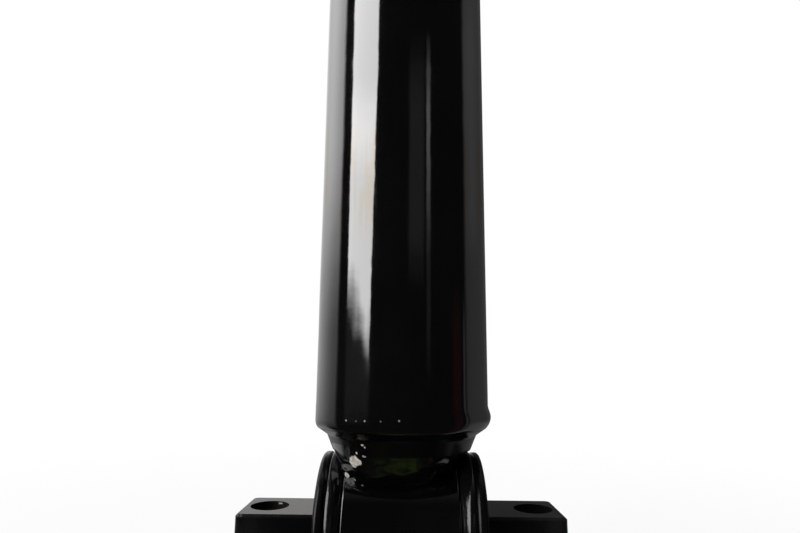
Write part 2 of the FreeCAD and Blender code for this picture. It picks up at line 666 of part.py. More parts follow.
def make_piston_rod():
    """One rod: spindle for the piston, full diameter with a groove for the stop, stem with a tang."""
    def above(place):
        return f"{place} - spindle_bottom"
    body = turned("piston_rod", [
        ("0", "0"),
        ("spindle_radius - stem_bevel", "0"),
        ("spindle_radius", "stem_bevel"),
        ("spindle_radius", above("rod_bottom")),
        ("rod_radius - rod_bevel", above("rod_bottom")),
        ("rod_radius", above("rod_bottom + rod_bevel")),
        ("rod_radius", above("stop_bottom")),
        ("rod_radius - stop_groove", above("stop_bottom")),
        ("rod_radius - stop_groove", above("stop_bottom + stop_height")),
        ("rod_radius", above("stop_bottom + stop_height")),
        ("rod_radius", above("rod_top - rod_bevel / 2")),
        ("rod_radius - rod_bevel / 2", above("rod_top")),
        ("stem_radius", above("rod_top")),
        ("stem_radius", above("stem_top - stem_bevel")),
        ("stem_radius - stem_bevel", above("stem_top")),
        ("0", above("stem_top"))], "spindle_bottom")
    sketch = new_sketch(body, "tang_outline")
    for sign in ("-", ""):
        draw_outline(sketch, [
            (sign + "stem_tang_flats / 2", above("stem_top - stem_tang_height")),
            (sign + "stem_dia", above("stem_top - stem_tang_height")),
            (sign + "stem_dia", above("stem_top + stem_tang_height")),
            (sign + "stem_tang_flats / 2", above("stem_top + stem_tang_height"))])
    pocket_through(body, "tang", sketch)


def make_piston():
    """The piston and what is clamped with it between the rod's shoulder and the nut."""
    body = turned("piston_body", [
        ("spindle_radius", "0"),
        ("piston_radius", "0"),
        ("piston_radius", "(piston_height - band_height) / 2"),
        ("band_floor", "(piston_height - band_height) / 2"),
        ("band_floor", "(piston_height + band_height) / 2"),
        ("piston_radius", "(piston_height + band_height) / 2"),
        ("piston_radius", "piston_height"),
        ("hub_dia / 2", "piston_height"),
        ("hub_dia / 2", "hub_top - piston_bottom"),
        ("spindle_radius", "hub_top - piston_bottom")], "piston_bottom")
    drill_around(body, "ports", "port_circle", "port_dia", PORTS)
    drill_around(body, "bleeds", "bleed_circle", "bleed_dia", BLEEDS)
    turned("piston_band", ring_corners("band_floor", "bore_radius - band_clearance", "band_height"),
           "piston_bottom + (piston_height - band_height) / 2")
    disc = turned("piston_check_disc", ring_corners("hub_bore", "check_disc_radius", "disc_thickness"),
                  "piston_top")
    drill_around(disc, "bleed_holes", "bleed_circle", "bleed_dia", BLEEDS)
    make_star_spring("piston_check_spring", "hub_bore", "check_disc_radius - disc_thickness",
                     "check_spring_height", "check_spring_bottom")
    turned("piston_backing_washer",
           ring_corners("spindle_radius", "stop_washer_dia / 2", "stop_washer_height"), "hub_top")


def make_rebound_valve():
    """Disc and spring seat under the piston, which slide on the sleeve of the piston nut."""
    turned("rebound_valve_disc", ring_corners("sleeve_bore", "valve_disc_dia / 2", "disc_thickness"),
           "valve_disc_bottom")
    seat_rim = "valve_spring_dia / 2 + valve_wire_dia / 2"
    body = turned("rebound_spring_seat", ring_corners("sleeve_bore", seat_rim, "valve_seat_height"),
                  "valve_seat_bottom")
    round_rims(body, "rim_round", "valve_seat_height / 4", [(seat_rim, "0")])
    nut = new_body("piston_nut", "piston_nut_bottom")
    draw_hexagon_nut(nut, "piston_nut_flats", "piston_nut_height - piston_nut_flange_height")
    turn(nut, "flange", ring_corners("0", "piston_nut_flange / 2", "piston_nut_height",
                                     "piston_nut_height - piston_nut_flange_height"))
    turn(nut, "sleeve", ring_corners("0", "sleeve_dia / 2", "piston_bottom - piston_nut_bottom",
                                     "piston_nut_height - piston_nut_flange_height"))
    cut_groove(nut, "bore",
               ring_corners("0", "spindle_radius", "piston_bottom - piston_nut_bottom + 1", "-1"))


def draw_hexagon_nut(body, flats, height):
    """A hexagon pad that stands on the body's zero."""
    sketch = new_sketch(body, "hexagon", "XY_Plane")
    reach = f"{flats} / sqrt(3)"
    angles = [30 + 60 * side for side in range(6)]
    draw_outline(sketch, [
        (f"{reach} * cos({angle} deg)", f"{reach} * sin({angle} deg)") for angle in angles])
    pad(body, "hexagon_pad", sketch, height)


def make_rebound_stop():
    """Steel ring in the rod's groove with the bumper that meets the rod guide."""
    body = turned("rebound_stop", ring_corners("rod_radius - stop_groove", "stop_dia / 2", "stop_height"),
                  "stop_bottom")
    round_rims(body, "rim_rounds", "stop_groove", [("stop_dia / 2", "0"), ("stop_dia / 2", "stop_height")])
    bumper = turned("rebound_bumper", ring_corners("rod_radius", "bumper_radius", "bumper_height"),
                    "bumper_bottom")
    round_rims(bumper, "rim_rounds", "bumper_height / 4",
               [("bumper_radius", "0"), ("bumper_radius", "bumper_height")])


def make_rod_guide():
    """The guide that closes the pressure tube, with its bush, washer and ring."""
    def above(place):
        return f"{place} - guide_bottom"
    groove_bottom = above("(guide_seat + seal_bottom) / 2 - ring_dia / 2")
    groove_top = above("(guide_seat + seal_bottom) / 2 + ring_dia / 2")
    throat = "rod_radius + throat_clearance"
    body = turned("rod_guide", [
        ("guide_bush_radius", "0"),
        ("bore_radius", "0"),
        ("bore_radius", "guide_spigot"),
        ("tube_bore_radius", "guide_spigot"),
        ("tube_bore_radius", groove_bottom),
        ("tube_bore_radius - ring_dia", groove_bottom),
        ("tube_bore_radius - ring_dia", groove_top),
        ("tube_bore_radius", groove_top),
        ("tube_bore_radius", "guide_height"),
        ("seal_pocket_dia / 2", "guide_height"),
        ("seal_pocket_dia / 2", above("seal_bottom")),
        (throat, above("seal_bottom")),
        (throat, "guide_lead + guide_bush_height"),
        ("guide_bush_radius", "guide_lead + guide_bush_height")], "guide_bottom")
    drill_around(body, "drains", "drain_circle", "drain_dia", DRAINS)
    turned("guide_bush", ring_corners("guide_bush_bore", "guide_bush_radius", "guide_bush_height"),
           "guide_bottom + guide_lead")
    turned("seal_backing_washer", ring_corners(throat, "tube_bore_radius", "backing_height"), "guide_top")
    add_torus("guide_o_ring", "tube_bore_radius - ring_dia / 2", "ring_dia / 2",
              "(guide_seat + seal_bottom) / 2")


def make_rod_seal():
    """A lip seal that opens downwards, with the garter spring round its lip."""
    pocket = "seal_pocket_dia / 2"
    turned("rod_seal", [
        ("lip_bore", "0"),
        ("lip_radius", "0"),
        ("lip_radius", "seal_height - seal_web"),
        (pocket + " - seal_wall", "seal_height - seal_web"),
        (pocket + " - seal_wall", "0"),
        (pocket, "0"),
        (pocket, "seal_height"),
        ("lip_bore", "seal_height")], "seal_bottom")
    add_torus("seal_garter_spring", "lip_radius + garter_dia / 2", "garter_dia / 2",
              "seal_bottom + garter_dia")


def add_torus(label, ring_radius, section_radius, height):
    ring = document.addObject("Part::Torus", label)
    ring.Label = label
    ring.setExpression("Radius1", bound(ring_radius))
    ring.setExpression("Radius2", bound(section_radius))
    ring.setExpression("Placement.Base.z", bound(height))


def biarc(start, start_way, end, end_way):
    """Two arcs that join two points and leave and arrive along the given unit directions."""
    chord = end - start
    both = start_way + end_way
    slope = chord.dot(both)
    square = 2 * (1 - start_way.dot(end_way))
    reach = (-slope + math.sqrt(slope * slope + square * chord.dot(chord))) / square
    first = start + start_way * reach
    last = end - end_way * reach
    joint = (first + last) * 0.5
    arcs = []
    for begin, corner, finish in ((start, first, joint), (joint, last, end)):
        side = (begin - corner).normalize() + (finish - corner).normalize()
        half_angle = (begin - corner).getAngle(finish - corner) / 2
        radius = reach * math.tan(half_angle)
        middle = corner + side.normalize() * (reach / math.cos(half_angle))
        arcs.append(Part.Arc(begin, middle + (corner - middle).normalize() * radius, finish).toShape())
    return arcs


def make_coil(label, radius, wire_radius, height, turns, bottom):
    """A round wire coiled between two end coils that lie flat, with real turns as one unbroken tube."""
    coil_radius = value(radius)
    wire = value(wire_radius)
    rise = value(height) - 2 * wire
    count = int(round(value(turns) * 4))
    flat = 2
    steady = rise / (count - flat)

    def climb(quarter):
        """Height above the first point after so many quarter turns: slow, steady, slow."""
        if quarter < flat:
            return quarter * 0.5 * steady
        if quarter > count - flat:
            return rise - (count - quarter) * 0.5 * steady
        return (quarter - flat / 2) * steady

    points = []
    ways = []
    for quarter in range(count + 1):
        angle = quarter * math.pi / 2
        points.append(FreeCAD.Vector(coil_radius * math.cos(angle), coil_radius * math.sin(angle),
                                     climb(quarter)))
        after = min(quarter + 0.5, count)
        before = max(quarter - 0.5, 0)
        slope = (climb(after) - climb(before)) / (after - before)
        way = FreeCAD.Vector(-coil_radius * math.sin(angle) * math.pi / 2,
                             coil_radius * math.cos(angle) * math.pi / 2, slope)
        ways.append(way.normalize())
    edges = []
    for index in range(count):
        edges.extend(biarc(points[index], ways[index], points[index + 1], ways[index + 1]))
    section = Part.Wire(Part.Circle(points[0], ways[0], wire).toShape())
    tube = Part.Wire(edges).makePipeShell([section], True, False)
    gap = min(climb(quarter + 4) - climb(quarter) for quarter in range(count - 3)) - 2 * wire
    print(f"{label}: {count / 4} turns, least gap between turns {gap:.2f} mm")
    coil = document.addObject("Part::Feature", label)
    coil.Label = label
    coil.Shape = tube
    coil.setExpression("Placement.Base.z", bound(bottom) + " + " + bound(wire_radius))


def make_dust_cover():
    """The steel cover round the top of the tube and the pressed cap that carries it on the rod."""
    inside = "cover_radius - cover_wall"
    rolled = inside + " + cover_roll"
    body = turned("dust_cover", [
        (inside, "0"),
        (rolled, "0"),
        (rolled, "cover_roll"),
        ("cover_radius", "cover_roll"),
        ("cover_radius", "lower_cup_bottom - cover_bottom"),
        (inside, "lower_cup_bottom - cover_bottom")], "cover_bottom")
    round_rims(body, "roll_rounds", "cover_roll / 4", [(rolled, "0"), (rolled, "cover_roll")])
    cap = turned("dust_cover_cap", [
        ("stem_radius", "cover_cap_drop - cover_cap_thickness"),
        (inside + " - cover_cap_thickness", "cover_cap_drop - cover_cap_thickness"),
        (inside + " - cover_cap_thickness", "0"),
        (inside, "0"),
        (inside, "cover_cap_drop"),
        ("stem_radius", "cover_cap_drop")], "lower_cup_bottom - cover_cap_drop")
    round_rims(cap, "cap_round", "cover_cap_round", [(inside, "cover_cap_drop")])


def make_stem_mount():
    """Cup washers, grommets and nut that clamp the chassis plate on the threaded stem."""
    rim = "cup_dia / 2"
    dish = "(cup_thickness + cup_dish)"
    for label, bottom, upside_down in (("stem_washer_lower", "lower_cup_bottom", False),
                                       ("stem_washer_upper", "upper_cup_bottom - cup_dish", True)):
        corners = [("stem_radius", "0"), (rim, "0"), (rim, dish), (rim + " - cup_thickness", dish),
                   (rim + " - cup_thickness", "cup_thickness"), ("stem_radius", "cup_thickness")]
        if upside_down:
            corners = [(across, f"{dish} - {up}") for across, up in corners]
        body = turned(label, corners, bottom)
        round_rims(body, "cup_round", "cup_thickness * 0.8", [(rim, dish if upside_down else "0")])
    hub = "grommet_hub_dia / 2"
    side = "grommet_dia / 2"
    bore = "stem_radius + grommet_clearance"
    lower = turned("grommet_lower", [
        (bore, "0"), (side, "0"), (side, "grommet_height"), (hub, "grommet_height"),
        (hub, "grommet_height + chassis_plate"), (bore, "grommet_height + chassis_plate")],
        "lower_grommet_bottom")
    upper = turned("grommet_upper", ring_corners(bore, side, "grommet_height"), "upper_grommet_bottom")
    for body in (lower, upper):
        round_rims(body, "side_rounds", "grommet_round", [(side, "0"), (side, "grommet_height")])
    nut = new_body("stem_nut", "nut_bottom")
    draw_hexagon_nut(nut, "nut_flats", "nut_height")
    reach = "nut_flats / sqrt(3)"
    bevel_top = [(reach + " - nut_bevel", "nut_height"), (reach + " + nut_bevel", "nut_height"),
                 (reach + " + nut_bevel", "nut_height - nut_bevel * 2 * tan(30 deg)")]
    cut_groove(nut, "top_bevel", bevel_top)
    cut_groove(nut, "bottom_bevel", [(across, f"nut_height - ({up})") for across, up in bevel_top])
    cut_groove(nut, "bore", ring_corners("0", "stem_radius", "nut_height + 1", "-1"))


def check_document():
    """Stop if any object of the document failed."""
    document.recompute()
    for thing in document.Objects:
        failed = "Invalid" in thing.State or "Error" in thing.State
        assert not failed, thing.Name + " failed"


def write_parts():
    """Write each sub-part to a file with its own name."""
    kinds = ("PartDesign::Body", "Part::Torus", "Part::Feature")
    subparts = [thing for thing in document.Objects if thing.TypeId in kinds]
    for subpart in subparts:
        assert not subpart.Shape.isNull(), subpart.Label + " is empty"
        assert subpart.Shape.isValid(), subpart.Label + " is not valid"
        assert len(subpart.Shape.Solids) == 1, subpart.Label + " is not one solid"
    os.makedirs("parts", exist_ok=True)
    for subpart in subparts:
        subpart.Shape.exportStep(f"parts/{subpart.Label}.step")
    print(len(subparts), "sub-parts written")


make_bar_pin()
make_bush_washers()
make_bush_rubber()
make_eye_ring()
make_base_cap()
make_eye_weld()
make_seam_weld()
make_reserve_tube()
make_pressure_tube()
make_foot_valve()
make_piston_rod()
make_piston()
make_rebound_valve()
make_coil("rebound_spring", "valve_spring_dia / 2", "valve_wire_dia / 2", "valve_spring_height",
          "valve_spring_turns", "piston_flange_top")
make_rebound_stop()
make_rod_guide()
make_rod_seal()
make_dust_cover()
make_stem_mount()
check_document()
write_parts()
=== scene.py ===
import json
import math

import bmesh
import bpy
from mathutils import Matrix, Vector, noise
from mathutils.bvhtree import BVHTree

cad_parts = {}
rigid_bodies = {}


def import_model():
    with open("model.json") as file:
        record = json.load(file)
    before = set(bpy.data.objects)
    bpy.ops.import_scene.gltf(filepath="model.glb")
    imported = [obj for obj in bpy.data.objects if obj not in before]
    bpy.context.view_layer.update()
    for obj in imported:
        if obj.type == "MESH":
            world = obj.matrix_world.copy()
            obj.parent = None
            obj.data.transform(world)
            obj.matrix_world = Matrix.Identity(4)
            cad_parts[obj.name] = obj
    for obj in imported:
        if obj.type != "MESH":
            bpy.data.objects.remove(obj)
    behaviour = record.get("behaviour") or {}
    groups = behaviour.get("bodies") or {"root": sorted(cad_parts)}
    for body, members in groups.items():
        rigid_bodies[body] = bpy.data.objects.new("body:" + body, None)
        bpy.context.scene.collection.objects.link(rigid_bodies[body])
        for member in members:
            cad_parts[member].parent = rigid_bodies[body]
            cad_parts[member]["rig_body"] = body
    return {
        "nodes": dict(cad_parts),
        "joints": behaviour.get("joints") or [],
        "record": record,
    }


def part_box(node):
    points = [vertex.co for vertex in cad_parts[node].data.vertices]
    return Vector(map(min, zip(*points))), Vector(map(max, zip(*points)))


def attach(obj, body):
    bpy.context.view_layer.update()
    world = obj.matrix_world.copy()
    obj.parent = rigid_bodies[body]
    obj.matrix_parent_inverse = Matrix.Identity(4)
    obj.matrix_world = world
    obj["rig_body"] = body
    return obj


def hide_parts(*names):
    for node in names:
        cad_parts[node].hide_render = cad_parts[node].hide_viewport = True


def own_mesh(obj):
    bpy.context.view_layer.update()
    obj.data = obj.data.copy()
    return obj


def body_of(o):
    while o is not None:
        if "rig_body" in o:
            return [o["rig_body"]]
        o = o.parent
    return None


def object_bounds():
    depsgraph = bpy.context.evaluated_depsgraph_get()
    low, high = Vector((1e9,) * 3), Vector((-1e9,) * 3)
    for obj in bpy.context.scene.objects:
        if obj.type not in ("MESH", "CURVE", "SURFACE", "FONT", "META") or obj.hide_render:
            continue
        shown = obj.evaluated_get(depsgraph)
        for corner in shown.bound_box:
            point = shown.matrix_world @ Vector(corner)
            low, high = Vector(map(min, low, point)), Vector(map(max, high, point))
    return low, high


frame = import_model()

# Shock absorber with a bar pin, dressed for the photograph's view. Metres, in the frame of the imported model.

cad_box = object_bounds()
nodes = frame["nodes"]
MM = 0.001

# The camera that fits the photograph, which is 800 pixels wide
PHOTO_WIDTH_PX = 800.0
PHOTO_MIDDLE_PX = (400.0, 266.5)
FOCAL_PX = 549.5
SENSOR_MM = 36.0
CAMERA_PLACE = Vector((0.0013, -0.1687, 0.0521))
PITCH_UP = math.radians(10.27)
YAW = math.radians(0.75)
ROLL = math.radians(0.505)

# Where the pieces are, read from the frame
eye_low, eye_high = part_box("eye_ring")
eye_height = (eye_low.z + eye_high.z) / 2
eye_radius = (eye_high.z - eye_low.z) / 2
weld_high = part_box("eye_weld")[1]
rod_low, rod_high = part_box("piston_rod")
rod_radius = (rod_high.x - rod_low.x) / 2
stop_low, stop_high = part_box("rebound_stop")
shoulder_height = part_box("piston_backing_washer")[1].z
bush_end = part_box("bush_rubber")[1].x
cover_cap_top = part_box("dust_cover_cap")[1].z


class Nodes:
    """A short way to write a node tree: each call adds nodes and returns the last one's output socket."""

    def __init__(self, tree):
        self.tree = tree

    def feed(self, socket, source):
        """Link another node's output to a socket, or set the socket to a value."""
        if isinstance(source, bpy.types.NodeSocket):
            self.tree.links.new(source, socket)
        else:
            socket.default_value = source

    def add(self, kind, inputs=(), output=0, **settings):
        """Add one node, with what goes into its inputs by name or number."""
        node = self.tree.nodes.new(kind)
        for name, setting in settings.items():
            setattr(node, name, setting)
        for name, source in dict(inputs).items():
            self.feed(node.inputs[name], source)
        return node.outputs[output] if node.outputs else node

    def math(self, operation, first, second=0.0, clamp=False):
        """One operation on two outputs or values."""
        return self.add("ShaderNodeMath", {0: first, 1: second}, operation=operation, use_clamp=clamp)

    def times(self, *sources):
        """All of them multiplied."""
        result = sources[0]
        for source in sources[1:]:
            result = self.math("MULTIPLY", result, source)
        return result

    def total(self, *sources):
        """All of them added."""
        result = sources[0]
        for source in sources[1:]:
            result = self.math("ADD", result, source)
        return result

    def line(self, source, slope, start):
        """Slope times source, plus start."""
        return self.add("ShaderNodeMath", {0: source, 1: slope, 2: start}, operation="MULTIPLY_ADD")

    def ramp(self, source, low, high, to_low=0.0, to_high=1.0):
        """Smooth step from low to high."""
        return self.add("ShaderNodeMapRange", {
            "Value": source, "From Min": low, "From Max": high, "To Min": to_low, "To Max": to_high},
            interpolation_type="SMOOTHSTEP")

    def band(self, source, low, high, soft):
        """1 between low and high, 0 outside, with soft edges."""
        return self.times(self.ramp(source, low - soft, low + soft),
                          self.ramp(source, high + soft, high - soft))

    def noise(self, place, scale, detail=3.0, roughness=0.55):
        """Cloudy noise with so many waves per metre."""
        return self.add("ShaderNodeTexNoise", {
            "Vector": place, "Scale": scale, "Detail": detail, "Roughness": roughness})

    def cells(self, place, scale):
        """Distance to the nearest of scattered points, so many per metre."""
        return self.add("ShaderNodeTexVoronoi", {"Vector": place, "Scale": scale}, feature="F1")

    def stretch(self, place, scales):
        """A place scaled along each axis."""
        return self.add("ShaderNodeMapping", {"Vector": place, "Scale": scales})

    def mix(self, share, first, second):
        """Mix two colours."""
        node = self.tree.nodes.new("ShaderNodeMix")
        node.data_type = "RGBA"
        for name, source in (("Factor", share), ("A", first), ("B", second)):
            self.feed([item for item in node.inputs if item.name == name and item.enabled][0], source)
        return [item for item in node.outputs if item.enabled][0]

    def place(self):
        """Position on the object, in metres."""
        return self.add("ShaderNodeTexCoord", output="Object")

    def bump(self, height, distance, normal=None):
        """A normal bent by a height, on top of an earlier one. The distance is in metres."""
        inputs = {"Height": height, "Distance": distance, "Strength": 1.0}
        if normal is not None:
            inputs["Normal"] = normal
        return self.add("ShaderNodeBump", inputs)


def new_material(name):
    """A material with an empty Principled shader: returns it, its node writer and the shader."""
    material = bpy.data.materials.new(name)
    material.use_nodes = True
    tree = material.node_tree
    shader = tree.nodes["Principled BSDF"]
    return material, Nodes(tree), shader


def set_inputs(write, shader, **inputs):
    """Set or link a shader's inputs, named with underscores for spaces."""
    for name, source in inputs.items():
        write.feed(shader.inputs[name.replace("_", " ")], source)


def grey(level):
    """A neutral colour."""
    return (level, level, level, 1.0)


def gloss_paint(name, peel=1.0, pits=0.0, roughness=0.06, coat=0.6, ior=1.8):
    """Gloss black paint over steel: orange peel, dust nibs, a few fine rubs, and pits over welded places."""
    material, write, shader = new_material(name)
    place = write.place()
    smudge = write.noise(place, 38.0, 4.0)
    fine = write.noise(place, 420.0, 2.0)
    wave = write.noise(place, 90.0, 1.0)
    nib = write.times(write.ramp(write.cells(place, 170.0), 0.075, 0.03), write.ramp(smudge, 0.45, 0.6))
    rub = write.noise(write.stretch(place, (900.0, 900.0, 40.0)), 1.0, 2.0)
    colour = write.mix(write.ramp(smudge, 0.35, 0.7),
                       (0.0015, 0.0015, 0.0017, 1.0), (0.0028, 0.0027, 0.0027, 1.0))
    colour = write.mix(write.times(nib, 0.12), colour, grey(0.06))
    rough = write.total(write.ramp(smudge, 0.3, 0.75, roughness * 0.8, roughness * 1.5),
                        write.times(write.ramp(rub, 0.62, 0.8), 0.05))
    normal = write.bump(wave, 0.00010 * peel)
    normal = write.bump(fine, 0.000012 * peel, normal)
    normal = write.bump(nib, 0.00002, normal)
    if pits:
        deep = write.times(write.ramp(write.cells(place, 330.0), 0.16, 0.06), write.ramp(smudge, 0.5, 0.62))
        normal = write.bump(deep, -0.0003 * pits, normal)
    set_inputs(write, shader, Base_Color=colour, Roughness=rough, IOR=ior, Normal=normal,
               Coat_Weight=coat, Coat_Roughness=roughness * 0.5, Coat_IOR=1.6)
    return material


# How far the outline of a pale spot wanders and how soft it is, as shares of the spot's radius
SPOT_RAGGEDNESS = 1.9
SPOT_SOFTNESS = 0.06


def add_chips_and_glints(material, chips_and_glints):
    """Pale bare-steel colour in ragged (place, radius, stretch) spots of a painted material; where a spot
    stands for a bright reflection, it is a painted highlight.
    """
    write = Nodes(material.node_tree)
    shader = material.node_tree.nodes["Principled BSDF"]
    place = write.place()
    ragged = write.math("SUBTRACT", write.noise(place, 650.0, 4.0, 0.65), 0.5)
    bare = 0.0
    for spot, radius, stretch in chips_and_glints:
        away = write.add("ShaderNodeVectorMath", {0: place, 1: tuple(spot)}, operation="SUBTRACT")
        away = write.add("ShaderNodeVectorMath", {0: away, 1: stretch}, operation="MULTIPLY")
        away = write.add("ShaderNodeVectorMath", {0: away}, output=1, operation="LENGTH")
        away = write.total(away, write.times(ragged, radius * SPOT_RAGGEDNESS))
        # Share of each spot that takes the pale steel colour; on the seam's nibs and in the bolt hole this is
        # a painted highlight
        bare = write.math("MAXIMUM", bare, write.ramp(
            away, radius * (1 + SPOT_SOFTNESS), radius * (1 - SPOT_SOFTNESS)))
    stain = write.noise(place, 900.0, 3.0)
    # The pale steel colour of the spots, which is a painted highlight on the seam's nibs and in the bolt hole
    steel_and_glint_colour = write.mix(write.ramp(stain, 0.35, 0.65), (0.36, 0.32, 0.285, 1.0), (0.66, 0.62, 0.57, 1.0))
    painted = {name: shader.inputs[name].links[0].from_socket
               for name in ("Base Color", "Roughness", "Normal")}
    set_inputs(write, shader, Base_Color=write.mix(bare, painted["Base Color"], steel_and_glint_colour),
               Roughness=write.math("MAXIMUM", painted["Roughness"], write.times(bare, 0.6)),
               Normal=write.bump(bare, -0.00012, painted["Normal"]))
    coat = shader.inputs["Coat Weight"].default_value
    if coat > 0:
        set_inputs(write, shader, Coat_Weight=write.times(write.math("SUBTRACT", 1.0, bare), coat))


def pin_paint():
    """Thin satin black coat on forged steel, rubbed a little along the edges."""
    material, write, shader = new_material("pin_paint")
    place = write.place()
    grain = write.noise(place, 700.0, 3.0)
    cloud = write.noise(place, 55.0, 4.0)
    edge = write.add("ShaderNodeNewGeometry", output="Pointiness")
    worn = write.times(write.ramp(edge, 0.53, 0.6), write.ramp(cloud, 0.4, 0.65), 0.1)
    colour = write.mix(write.ramp(cloud, 0.3, 0.75),
                       (0.0025, 0.0025, 0.003, 1.0), (0.005, 0.0048, 0.0046, 1.0))
    normal = write.bump(grain, 0.000004)
    normal = write.bump(cloud, 0.00012, normal)
    set_inputs(write, shader, Base_Color=write.mix(worn, colour, grey(0.12)),
               Roughness=write.ramp(grain, 0.3, 0.7, 0.14, 0.2), IOR=1.3, Normal=normal)
    return material


def rubber(name, gloss=0.0):
    """Moulded black rubber with a fine skin and a little bloom."""
    material, write, shader = new_material(name)
    place = write.place()
    grain = write.noise(place, 1600.0, 3.0)
    cloud = write.noise(place, 120.0, 4.0)
    colour = write.mix(write.ramp(cloud, 0.4, 0.75), (0.004, 0.004, 0.004, 1.0), (0.009, 0.009, 0.0095, 1.0))
    normal = write.bump(grain, 0.00002)
    normal = write.bump(cloud, 0.00012, normal)
    roughness = write.ramp(cloud, 0.3, 0.7, 0.55 - 0.42 * gloss, 0.68 - 0.5 * gloss)
    set_inputs(write, shader, Base_Color=colour, Roughness=roughness, IOR=1.52, Normal=normal)
    return material


def metal(name, colour, roughness, grain_scales=(900.0, 900.0, 60.0), stain=0.15):
    """Bare or plated metal with a directed grain and faint stains."""
    material, write, shader = new_material(name)
    place = write.place()
    grain = write.noise(write.stretch(place, grain_scales), 1.0, 4.0)
    cloud = write.noise(place, 70.0, 4.0)
    darker = tuple(item * (1.0 - stain) for item in colour[:3]) + (1.0,)
    rough = write.math("ADD", write.times(grain, 0.16), roughness - 0.08, clamp=True)
    set_inputs(write, shader, Base_Color=write.mix(write.ramp(cloud, 0.35, 0.7), darker, colour),
               Roughness=rough, Metallic=1.0, Normal=write.bump(grain, 0.000012))
    return material


def rod_metal():
    """Hard chrome between the rod's shoulder and the dust cover, plain threaded steel below and above."""
    material, write, shader = new_material("rod_metal")
    place = write.place()
    height = write.add("ShaderNodeSeparateXYZ", {0: place}, output=2)
    plated = write.times(write.ramp(height, shoulder_height, shoulder_height + MM),
                         write.ramp(height, cover_cap_top - MM, cover_cap_top - 2 * MM))
    grain = write.noise(write.stretch(place, (1500.0, 1500.0, 120.0)), 1.0, 4.0)
    cloud = write.noise(place, 260.0, 4.0)
    bare = write.mix(write.ramp(cloud, 0.35, 0.7), (0.16, 0.155, 0.15, 1.0), (0.27, 0.265, 0.26, 1.0))
    bare_roughness = write.ramp(cloud, 0.3, 0.7, 0.48, 0.6)
    plated_roughness = write.ramp(grain, 0.2, 0.8, 0.07, 0.18)
    roughness = write.total(write.times(plated, plated_roughness),
                            write.times(write.math("SUBTRACT", 1.0, plated), bare_roughness))
    set_inputs(write, shader, Base_Color=write.mix(plated, bare, (0.76, 0.77, 0.78, 1.0)),
               Roughness=roughness, Metallic=1.0, Normal=write.bump(grain, 0.000003))
    return material


def sintered(name):
    """Pressed and sintered iron: dark, dry and pitted."""
    material, write, shader = new_material(name)
    place = write.place()
    pore = write.cells(place, 1400.0)
    cloud = write.noise(place, 150.0, 3.0)
    tone = write.mix(write.ramp(cloud, 0.3, 0.7), (0.2, 0.19, 0.18, 1.0), (0.33, 0.32, 0.31, 1.0))
    set_inputs(write, shader, Base_Color=tone, Roughness=write.ramp(pore, 0.0, 0.5, 0.65, 0.5), Metallic=0.9,
               Normal=write.bump(write.ramp(pore, 0.05, 0.35), 0.00006))
    return material


def plastic(name, dark, light, roughness):
    """Plain technical plastic with a faint mould grain."""
    material, write, shader = new_material(name)
    place = write.place()
    cloud = write.noise(place, 200.0, 3.0)
    tone = write.mix(write.ramp(cloud, 0.3, 0.7), dark, light)
    set_inputs(write, shader, Base_Color=tone, Normal=write.bump(cloud, 0.00003),
               Roughness=write.ramp(cloud, 0.2, 0.8, roughness - 0.05, roughness + 0.08))
    return material


# The finish of each of the record's material slots
MATERIALS = {
    "black_paint": gloss_paint("gloss_black_paint"),
    "pin_paint": pin_paint(),
    "rubber": rubber("moulded_rubber"),
    "chrome": rod_metal(),
    "steel": metal("plain_steel", (0.45, 0.44, 0.43, 1.0), 0.36),
    "zinc": metal("zinc_plate", (0.5, 0.485, 0.41, 1.0), 0.48, (400.0, 400.0, 400.0), 0.25),
    "sintered": sintered("sintered_iron"),
    "band": plastic("band_plastic", (0.10, 0.06, 0.04, 1.0), (0.16, 0.1, 0.06, 1.0), 0.35),
    "bronze": metal("bush_bronze", (0.6, 0.42, 0.22, 1.0), 0.34),
    "bumper": plastic("bumper_plastic", (0.62, 0.58, 0.48, 1.0), (0.74, 0.7, 0.6, 1.0), 0.45),
}
# Nodes that the photograph shows with a finish of their own
washer_paint = gloss_paint("washer_black_paint", roughness=0.2, coat=0.0, ior=1.3)
OWN_MATERIALS = {
    "bush_rubber": rubber("glossy_bush_rubber", gloss=1.0),
    "eye_ring": gloss_paint("eye_black_paint", roughness=0.1, coat=0.3, ior=1.6),
    "base_cap": gloss_paint("gloss_black_cap_paint", peel=2.0, pits=1.0, roughness=0.2, coat=0.0, ior=1.5),
    "eye_weld": gloss_paint("gloss_black_weld_paint", peel=1.5),
    "base_seam_weld": gloss_paint("gloss_black_seam_paint", peel=1.8, pits=1.0),
    "bush_washer_left": washer_paint,
    "bush_washer_right": washer_paint,
}
SLOTS = {subpart["node"]: subpart["material_slot"] for subpart in frame["record"]["subparts"]}


def material_of(node):
    """The node's own material, or else its slot's."""
    return OWN_MATERIALS.get(node, MATERIALS[SLOTS[node]])


def dress_nodes():
    """Give every node its material."""
    for node in SLOTS:
        nodes[node].data.materials.clear()
        nodes[node].data.materials.append(material_of(node))


def finish_piece(piece, node):
    """Let a new piece stand for a node, with the node's body, slot and material."""
    piece.data.materials.append(material_of(node))
    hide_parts(node)
    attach(piece, body_of(nodes[node])[0])


def add_mesh(name, build, sharp=180):
    """A new mesh object made with bmesh, smooth but for edges sharper than so many degrees."""
    mesh = bpy.data.meshes.new(name)
    work = bmesh.new()
    build(work)
    bmesh.ops.recalc_face_normals(work, faces=work.faces)
    for face in work.faces:
        face.smooth = True
    for edge in work.edges:
        edge.smooth = not edge.is_manifold or edge.calc_face_angle() < math.radians(sharp)
    work.to_mesh(mesh)
    work.free()
    piece = bpy.data.objects.new(name, mesh)
    bpy.context.scene.collection.objects.link(piece)
    return piece


